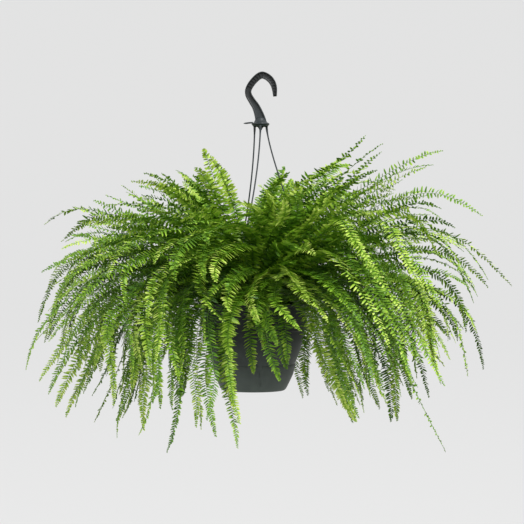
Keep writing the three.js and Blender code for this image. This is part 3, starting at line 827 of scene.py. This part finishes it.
hanger = {
    "route": [(20, -33, 7), (19, -19, 10), (16, -8.5, 11.5), (10.5, -0.5, 12.4), (3, 5.2, 12.6),
              (-5.5, 7.4, 12.6), (-14.5, 2.2, 12.4), (-24.5, -8.8, 12.2), (-30.6, -20.5, 12),
              (-30, -30.5, 12.4), (-23.8, -41.5, 13), (-16.8, -52, 14.5), (-11.6, -64, 17), (-8, -76, 20),
              (-7.6, -83, 25)],
    "steps": 150,
    "depth": 0.0095,
    "web": 0.0032,
    "flange": 0.0024,
    "edge": 0.001,
    "endSize": 0.86,
    "ribs": {"stops": (0.004, 0.088, 0.0058), "thickness": 0.0011, "depth": 0.0078, "inFlange": 0.0003},
    "hub": {"x": -0.0076, "segments": 64, "edge": 0.0011,
            "profile": [(0, -98), (1.7, -98), (3.6, -94), (6.6, -90.2), (9, -87.6), (11.6, -88.2),
                        (13.4, -90.4), (14.6, -90), (15.2, -88), (17, -87), (17, -84.4), (13.4, -83),
                        (10.6, -79.6), (8.2, -74), (0, -73)]},
    "tab": {"route": [(-22, -83), (-28, -83.3), (-34, -84), (-39.6, -84.4)], "steps": 20, "edge": 0.0006,
            "halfSize": (0.0025, 0.0014), "narrower": 0.8, "end": (0.7, 1)},
    "strand": {"radius": 0.0014, "sides": 10, "steps": 60, "reach": 0.0128, "top": -0.084, "end": -0.4236,
               "inRim": 0.001, "thicker": 0.7, "thickAt": 0.02, "thickOver": 0.03},
    # the clip's outline, and its share of the half width and of the size at the rounded and the plain stations
    "clip": {"width": 0.009, "edge": 0.0009,
             "outline": [(93.5, -438), (95.7, -438), (95.7, -424.7), (101.3, -424.7), (101.3, -438),
                         (103.5, -438), (103.5, -423.5), (102.5, -422.5), (93.5, -422.5)],
             "places": np.array([-1, -0.96, -0.86, 0.86, 0.96, 1]),
             "sizes": np.array([0.94, 0.985, 1, 1, 0.985, 0.94])},
    "sharpAngle": 40,
}
# a strand's angles at the hub and at the rim, and the share of its spread at a share of its way down
strands = [
    {"hubAngle": 30, "rimAngle": 0, "spread": lambda t: smooth(t ** 0.8, 0, 1)},
    {"hubAngle": 150, "rimAngle": 120, "spread": lambda t: t ** 1.8},
    {"hubAngle": 270, "rimAngle": 240, "spread": lambda t: t ** 1.7},
]


def inFront(points):
    # points of x and z as points in space, in the plane of the pot's axis
    return points[:, :1] * rightwards + points[:, 1:] * upwards


def hookShape():
    # the I-section of 12 rounded corners, carried along the route while its width changes
    route = metres(hanger["route"])
    centre = inFront(throughPoints(route[:, :2], hanger["steps"])[0])
    side = np.cross(depthwise, unit(np.gradient(centre, axis=0)))
    half = np.interp(np.linspace(0, len(route) - 1, hanger["steps"]), np.arange(len(route)), route[:, 2]) / 2
    depth, web = hanger["depth"] / 2, hanger["web"] / 2
    inner = half - hanger["flange"]
    across = np.stack([half, half, inner, inner, -inner, -inner], -1)
    through = np.array([-depth, depth, depth, web, web, depth])
    # the second half of the section is the first one turned by half a circle
    section = np.stack([across, through + 0 * across], -1)
    outline = rounded(np.concatenate([section, -section], 1), hanger["edge"])
    # the first and last sections are a little smaller, so the ends are not razor sharp
    outline[[0, -1]] *= hanger["endSize"]
    return swept(centre, side, depthwise, outline), centre, side, inner


def hookRibs(centre, side, inner):
    # cross ribs: thin plates through the web, at even steps of the way along the hook
    rule = hanger["ribs"]
    way = np.concatenate([[0], np.cumsum(np.linalg.norm(np.diff(centre, axis=0), axis=1))])
    stops = np.arange(*rule["stops"])
    middle, sideways = [np.stack([np.interp(stops, way, values[:, k]) for k in range(3)], -1)
                        for values in (centre, side)]
    sideways = unit(sideways)
    reach = np.interp(stops, way, inner)[:, None] + rule["inFlange"]
    steps = np.array([[x, y, z] for x in (-1, 1) for y in (-1, 1) for z in (-1, 1)])
    corners = (middle[:, None] + (sideways * reach)[:, None] * steps[:, :1]
               + depthwise * (rule["depth"] / 2 * steps[:, 1:2])
               + np.cross(sideways, depthwise)[:, None] * (rule["thickness"] / 2 * steps[:, 2:]))
    sides = np.array([[0, 1, 3, 2], [4, 6, 7, 5], [0, 4, 5, 1], [2, 3, 7, 6], [0, 2, 6, 4], [1, 5, 7, 3]])
    return corners, [repeated(sides, len(stops), 8)]


def tabShape():
    # the moulding tab: a flat strip with rounded edges that droops a little and narrows at its end
    tab = hanger["tab"]
    centre, way = [inFront(points) for points in throughPoints(metres(tab["route"]), tab["steps"])]
    box = np.array([[-1, 1], [1, 1], [1, -1], [-1, -1]]) * tab["halfSize"][::-1]
    share = np.linspace(0, 1, tab["steps"])[:, None, None]
    outline = rounded(box, tab["edge"]) * np.sqrt(1 - tab["narrower"] * smooth(share, *tab["end"]))
    return swept(centre, np.cross(depthwise, way) * -1, depthwise, outline)


def strandShape(strand):
    # from inside the hub down to the rim: the turn and the reach go from the hub's to the rim's by its spread
    rule = hanger["strand"]
    t = np.linspace(0, 1, rule["steps"])
    hubEnd = [hanger["hub"]["x"], 0, 0] + rule["reach"] * levelAt(np.radians(strand["hubAngle"]))
    rimEnd = [pot["x"], 0, 0] + (pot["rimRadius"] - rule["inRim"]) * levelAt(np.radians(strand["rimAngle"]))
    place = hubEnd + (rimEnd - hubEnd) * strand["spread"](t)[:, None]
    place[:, 2] = rule["top"] + (rule["end"] - rule["top"]) * t
    down = unit(np.gradient(place, axis=0))
    side = unit(np.cross(depthwise, down))
    # the strand is thicker where it leaves the hub
    radius = rule["radius"] * (1 + rule["thicker"] * bell(t, rule["thickAt"], rule["thickOver"]))
    return swept(place, side, np.cross(down, side), circle(rule["sides"]) * radius[:, None, None])


def clipShape(strand):
    # an upside-down U over the rim: its outline swept sideways, smaller at both ends for a rounded edge
    clip = hanger["clip"]
    outline = rounded(metres(clip["outline"]), clip["edge"])
    outline = outline.mean(0) + (outline - outline.mean(0)) * clip["sizes"][:, None, None]
    turn = np.radians(strand["rimAngle"])
    centre = [pot["x"], 0, 0] + levelAt(turn - np.pi / 2) * (clip["width"] / 2 * clip["places"])[:, None]
    return swept(centre, levelAt(turn), upwards, outline)


def makeHanger(material):
    hook, *section = hookShape()
    hub = hanger["hub"]
    hubShape = turned(roundedProfile(metres(hub["profile"]), hub["edge"]), hub["segments"], hub["x"])
    shapes = [hook, hookRibs(*section), hubShape, tabShape()]
    shapes += [shapeOf(strand) for shapeOf in (strandShape, clipShape) for strand in strands]
    mesh = makePiece("hanger_moulding", shapes, material, "hanger",
                     sharpAngle=hanger["sharpAngle"])
    print("hanger:", len(mesh.polygons), "faces")


# Pot: a thin blow-moulded bowl with a collar; its wall is a little uneven, with one crease at the front. The
# lists hold radius and z in mm.

pot = {
    "x": -0.021,
    "segments": 128,
    "wall": [(53.5, -588.9), (61, -578), (70.5, -560), (78.5, -539), (86.5, -518), (92, -498), (95.3, -478)],
    "wallRows": 70,
    "insideStep": 3,
    "insideFrom": 0.001,
    "baseRadii": {"outside": 0.05, "inside": 0.052},
    "thickness": 0.0019,
    "collar": [(95.6, -477.6), (98.6, -477), (100, -431), (101, -430.4), (101, -426), (100, -425), (98, -425),
               (97, -427), (96.7, -476), (93.2, -477.4)],
    "edge": 0.0009,
    "rimRadius": 0.101,
    "sharpAngle": 45,
    # sines round the pot: how many, how high in mm and from where; they turn on the way down and fade
    "waves": [(3, 0.5, 0.9), (5, 0.35, 2.1), (9, 0.16, 0.3), (14, 0.08, 1.7)],
    "waveTurn": {"radiansPerMetre": 2.7, "middle": -0.53},
    "waveFades": {"base": (-0.588, -0.565), "ledge": (-0.505, -0.479)},
    # degrees and heights of the crease; beside the groove is a fold, in widths of the groove
    "crease": {"from": 271.5, "to": 282.5, "power": 0.8, "top": -0.512, "bottom": -0.586, "depth": 0.0032,
               "width": 0.0026, "wallRadius": 0.075, "foldHeight": 0.75, "foldAt": 2.2, "foldWidth": 1.9,
               "begins": (-0.05, 0.25), "ends": (0.8, 1.1)},
}


def unevenness(height):
    # how far the wall stands out at each segment: a few waves round the pot, and the crease, a narrow groove
    # that leans to one side as it goes down, with a soft fold beside it
    angle, turn, fades, crease = angles(pot["segments"]), pot["waveTurn"], pot["waveFades"], pot["crease"]
    at = angle + turn["radiansPerMetre"] * (height - turn["middle"])
    waves = sum(size / 1000 * np.sin(count * at + phase) for count, size, phase in pot["waves"])
    waves = waves * smooth(height, *fades["base"]) * (1 - smooth(height, *fades["ledge"]))
    down = (crease["top"] - height) / (crease["top"] - crease["bottom"])
    middle = crease["from"] + (crease["to"] - crease["from"]) * np.clip(down, 0, 1) ** crease["power"]
    beside = np.radians(within(np.degrees(angle) - middle, -180)) * crease["wallRadius"] / crease["width"]
    groove = crease["foldHeight"] * bell(beside, crease["foldAt"], crease["foldWidth"]) - bell(beside, 0, 1)
    present = smooth(down, *crease["begins"]) * (1 - smooth(down, *crease["ends"]))
    return waves + crease["depth"] * groove * present


def makePotPiece(name, profile, push, material, node):
    shapes = [turned(profile, pot["segments"], pot["x"], push)]
    mesh = makePiece(name, shapes, material, node, sharpAngle=pot["sharpAngle"])
    print(node + ":", len(mesh.polygons), "faces")


def makePot(material):
    wall, _ = throughPoints(metres(pot["wall"]), pot["wallRows"])
    collar = roundedProfile(metres(pot["collar"]), pot["edge"])
    base, floor, radii = wall[0, 1], wall[0, 1] + pot["thickness"], pot["baseRadii"]
    inside = wall[::-pot["insideStep"]] - [pot["thickness"], 0]
    inside = inside[inside[:, 1] > floor + pot["insideFrom"]]
    profile = np.concatenate([[(0, base), (radii["outside"], base)], wall, collar, inside,
                              [(radii["inside"], floor), (0, floor)]])
    # only the wall's outside is uneven
    outer = (np.arange(len(profile) - 2) < len(wall) + 1)[:, None]
    push = np.where(outer, unevenness(profile[1:-1, 1:]), 0)
    makePotPiece("pot_bowl", profile, push, material, "pot")


# Saucer: a drip tray that hugs the lower third of the pot

saucer = {
    "step": 0.003,
    "edge": 0.0012,
    "profile": [(0, -589.6), (42, -589.6), (46, -590.6), (59, -590.6), (62.8, -586.4), (67.4, -577),
                (75, -560), (78.2, -547), (78.5, -543), (78.3, -541), (77.2, -540.4), (75.6, -544),
                (75.8, -547), (73.2, -560.4), (65.4, -577.4), (58, -589.2), (0, -589.2)],
}


def makeSaucer(material):
    # the tray fits the pot closely, so it follows the waves and the crease of the pot's wall
    profile = withSteps(roundedProfile(metres(saucer["profile"]), saucer["edge"], 5), saucer["step"])
    makePotPiece("drip_saucer", profile, unevenness(profile[1:-1, 1:]), material, "saucer")


# Soil: an uneven crumbly surface, with loose lumps of peat and white grains of perlite

soil = {
    "radius": 0.0955,
    "top": -0.441,
    "profile": [(0, -586.6), (51, -586.6), (68, -560), (84, -518), (93, -478), (95.4, -470)],
    "rings": 44,
    "segments": 120,
    # a sum of sines across the surface, in radians for each metre, and a spread of each point's own
    "bump": {"height": 0.0016, "sines": 8, "steepness": (90, 420), "share": 1 / 3, "own": 0.35,
             "limits": (-1.4, 0.9)},
    "lumps": {"count": 620, "size": (0.0011, 0.0034), "tone": (0.1, 0.5)},
    "grains": {"count": 110, "size": (0.0009, 0.0019), "tone": 1},
    "scatterRadius": 0.091,
    "raised": 0.4,
    "cornerReach": (0.7, 1.15),
    "seed": 5,
}


def makeSoil(material):
    rng = np.random.default_rng(soil["seed"])
    reach = np.linspace(soil["radius"], 0, soil["rings"] + 1)[:, None]
    profile = np.concatenate([metres(soil["profile"]), np.concatenate([reach, 0 * reach + soil["top"]], -1)])
    vertices, faceGroups = turned(profile, soil["segments"], pot["x"])
    bump, count = soil["bump"], soil["bump"]["sines"]
    onTop = vertices[:, 2] > soil["top"] - 0.0001
    ways = levelAt(rng.uniform(0, 2 * np.pi, count)) * rng.uniform(*bump["steepness"], (count, 1))
    sines = np.sin(vertices[:, :2] @ ways[:, :2].T + rng.uniform(0, phaseRange, count))
    relief = sines.sum(1) * bump["share"] + rng.normal(0, bump["own"], len(vertices))
    vertices[:, 2] += np.where(onTop, bump["height"] * np.clip(relief, *bump["limits"]), 0)

    # a lump is an octahedron whose corners are pushed in and out; the grains come first
    lumps, grains = soil["lumps"], soil["grains"]
    count = lumps["count"] + grains["count"]
    corners = np.array([[1, 0, 0], [0, 1, 0], [-1, 0, 0], [0, -1, 0], [0, 0, 1], [0, 0, -1]])
    sides = np.array([[0, 1, 4], [1, 2, 4], [2, 3, 4], [3, 0, 4], [1, 0, 5], [2, 1, 5], [3, 2, 5], [0, 3, 5]])
    white = np.arange(count) < grains["count"]
    size = np.where(white, rng.uniform(*grains["size"], count), rng.uniform(*lumps["size"], count))[:, None]
    spot = levelAt(rng.uniform(0, 2 * np.pi, count))
    spot = spot * (soil["scatterRadius"] * np.sqrt(rng.uniform(0, 1, count)))[:, None]
    middle = [pot["x"], 0, soil["top"]] + spot + upwards * soil["raised"] * size
    turn = np.linalg.qr(rng.normal(size=(count, 3, 3)))[0]
    turn = turn * np.sign(np.linalg.det(turn))[:, None, None]
    corners = corners * rng.uniform(*soil["cornerReach"], (count, 6, 1))
    bodies = corners @ turn * size[:, None] + middle[:, None]
    tone = np.where(white, grains["tone"], rng.uniform(*lumps["tone"], count))
    shapes = [(vertices, faceGroups), (bodies, [repeated(sides, count, 6)])]
    tones = np.concatenate([0 * onTop, np.repeat(tone, 6)])
    makePiece("potting_soil", shapes, material, "soil", tones)
    print("soil:", count, "lumps and grains")


# Studio: a pale cove with an even glow of its own, which only the camera sees, and soft light from two big
# lamps and the sky

studio = {
    "wall": "#88898a",
    "wallGlow": 0.545,
    "sky": {"colour": (1.0, 0.99, 0.97, 1), "below": 0.34, "above": 1.05},
    "lamps": [("key", (1.5, -2.3, 1.9), 1.2, 150), ("fill", (-2.6, -1.8, 0.6), 2.0, 30)],
    "aim": (-0.02, 0, -0.4),
    "radius": 7.0,
    "floor": -2.35,
    "top": 5.0,
    "bend": 1.6,
    "bendRows": 16,
    "segments": 96,
}


def makeCove():
    # the cove's profile: out along the floor, a quarter circle up, then the wall
    angle = np.linspace(0, np.pi / 2, studio["bendRows"])
    bend, edge, segments = studio["bend"], studio["radius"] - studio["bend"], studio["segments"]
    profile = np.stack([edge + bend * np.sin(angle), studio["floor"] + bend * (1 - np.cos(angle))], -1)
    profile = np.concatenate([[[0, studio["floor"]]], profile, [[studio["radius"], studio["top"]]]])
    points = profile[:, None, :1] * levelAt(angles(segments)) + profile[:, None, 1:] * upwards
    mesh = makeMesh("cove", points.reshape(-1, 3), [gridFaces(len(profile), segments)])
    cove = bpy.data.objects.new("cove", mesh)
    material, tree = newMaterial("matte_paint")
    shader = addNode(tree, "ShaderNodeBsdfPrincipled", Base_Color=linear(studio["wall"]), Roughness=0.9,
                     Emission_Color=(1.0, 1.0, 1.0, 1.0), Emission_Strength=studio["wallGlow"])
    addNode(tree, "ShaderNodeOutputMaterial", Surface=shader.outputs["BSDF"])
    mesh.materials.append(material)
    scene.collection.objects.link(cove)
    for ray in ("diffuse", "glossy", "transmission", "shadow", "volume_scatter"):
        setattr(cove, "visible_" + ray, False)


def makeStudio():
    makeCove()
    # the sky's light goes evenly from below to above
    scene.world = bpy.data.worlds.new("sky")
    scene.world.use_nodes = True
    sky = scene.world.node_tree
    direction = addNode(sky, "ShaderNodeTexCoord").outputs["Generated"]
    height = addNode(sky, "ShaderNodeSeparateXYZ", Vector=direction).outputs["Z"]
    strength = addRange(sky, height, -1.0, 1.0, studio["sky"]["below"], studio["sky"]["above"])
    background = sky.nodes["Background"]
    background.inputs["Color"].default_value = studio["sky"]["colour"]
    sky.links.new(strength, background.inputs["Strength"])
    for name, place, size, power in studio["lamps"]:
        lamp = bpy.data.lights.new(name, "AREA")
        lamp.size = size
        lamp.energy = power
        light = bpy.data.objects.new(name, lamp)
        light.location = place
        light.rotation_euler = (Vector(studio["aim"]) - Vector(place)).to_track_quat("-Z", "Y").to_euler()
        scene.collection.objects.link(light)


makeCamera()
makeTufts(fernLeaf())
makeHanger(polypropylene("moulded"))
# the pot and saucer share this plastic with its painted shade and painted light
blown = polypropylene("blown")
makePot(blown)
makeSaucer(blown)
makeSoil(peatSoil())
makeStudio()
scene.view_settings.view_transform = "Standard"
